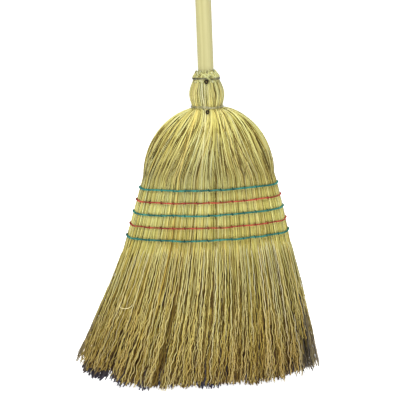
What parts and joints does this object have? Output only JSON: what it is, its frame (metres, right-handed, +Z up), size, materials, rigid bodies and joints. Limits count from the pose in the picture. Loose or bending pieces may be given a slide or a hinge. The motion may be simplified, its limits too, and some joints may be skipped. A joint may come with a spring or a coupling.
{
  "type": "straw broom",
  "caption": "Sewn straw broom: plain turned wooden handle, wire-bound round neck and a wide flat fan of loose straw held by rows of coloured twine.",
  "frame": {"origin": "on the handle's axis, in the plane of the longest straw tips", "axes": "+Z up along the handle to its free end, +X across the wide head, -Y towards the front with the nail heads"},
  "size_m": [0.3447, 0.0852, 1.3502],
  "materials": {
    "handle_wood": "sanded, unpainted",
    "cover_straw": "dry natural straw",
    "core_straw": "dark coarse straw",
    "binding_wire": "dark annealed wire",
    "nail_steel": "dark oxidised steel",
    "teal_twine": "twisted twine",
    "red_twine": "twisted twine"
  },
  "bodies": {
    "root": {"handle": "handle_wood", "core_bundle": "core_straw", "front_cover": "cover_straw", "back_cover": "cover_straw", "left_shoulder": "cover_straw", "right_shoulder": "cover_straw", "core_wire": "binding_wire", "lower_neck_wire": "binding_wire", "upper_neck_wire": "binding_wire", "lower_nail": "nail_steel", "upper_nail": "nail_steel", "seam_1_teal": "teal_twine", "seam_2_red": "red_twine", "seam_3_teal": "teal_twine", "seam_4_red": "red_twine", "seam_5_teal": "teal_twine"}
  },
  "joints": []
}
